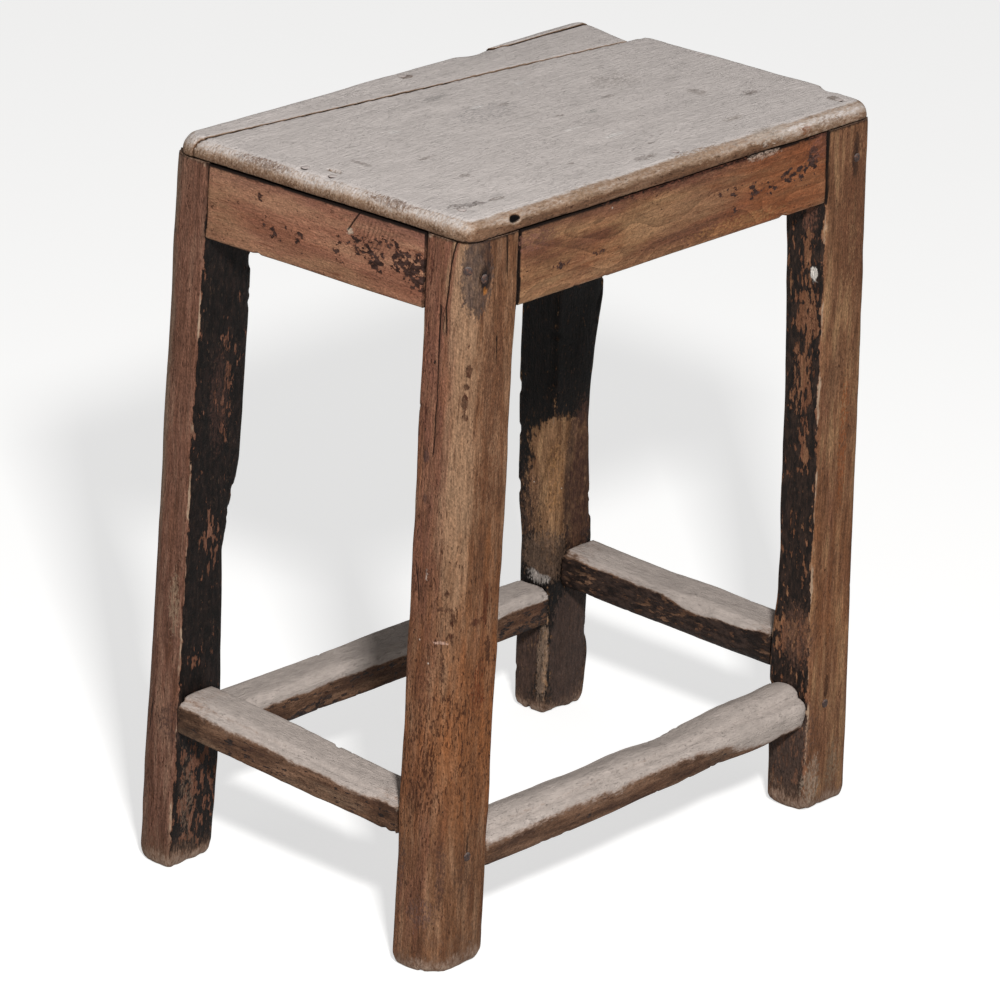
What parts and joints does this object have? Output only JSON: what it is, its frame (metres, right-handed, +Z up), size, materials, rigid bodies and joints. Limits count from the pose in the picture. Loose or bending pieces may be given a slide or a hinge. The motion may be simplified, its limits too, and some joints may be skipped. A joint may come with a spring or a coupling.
{
  "type": "stool",
  "caption": "Rectangular wooden stool: a board seat with rounded edges on a frame of splayed square legs, joined by aprons under the seat and stretchers near the floor.",
  "frame": {"origin": "on the floor, under the middle of the stool's outline", "axes": "+X along the long side of the seat, to the right as seen from the front; +Y from front to back; +Z up"},
  "size_m": [0.4294, 0.2696, 0.5015],
  "materials": {
    "leg_wood": "old hardwood, worn bare and polished by use on the outer faces, with dark flaking stain left on the inner faces",
    "apron_wood": "reddish stained hardwood, planed, rubbed through to tan wood, with dark flakes and pits",
    "stretcher_wood": "hardwood worn round by feet, dusty grey on top and dark stained below",
    "seat_wood": "weathered hardwood board, dry grey-beige, scratched, with browner rounded edges",
    "nail_iron": "rusted iron"
  },
  "bodies": {
    "root": {"front_left_leg": "leg_wood", "front_right_leg": "leg_wood", "back_left_leg": "leg_wood", "back_right_leg": "leg_wood", "front_apron": "apron_wood", "back_apron": "apron_wood", "left_apron": "apron_wood", "right_apron": "apron_wood", "front_stretcher": "stretcher_wood", "back_stretcher": "stretcher_wood", "left_stretcher": "stretcher_wood", "right_stretcher": "stretcher_wood", "seat_board_main": "seat_wood", "seat_board_rear": "seat_wood", "seat_board_strip": "seat_wood", "seat_nail_left_rear": "nail_iron", "seat_nail_left_front": "nail_iron", "seat_nail_right": "nail_iron", "seat_nail_front": "nail_iron", "seat_nail_rear": "nail_iron", "seat_nail_front_left": "nail_iron", "seat_nail_front_right": "nail_iron", "apron_nail_front_left": "nail_iron", "apron_nail_front_right": "nail_iron", "apron_nail_back_left": "nail_iron", "apron_nail_back_right": "nail_iron", "corner_nail_front_left": "nail_iron", "stretcher_nail_front_left": "nail_iron", "stretcher_nail_front_right": "nail_iron", "stretcher_nail_back_left": "nail_iron", "stretcher_nail_back_right": "nail_iron"}
  },
  "joints": []
}
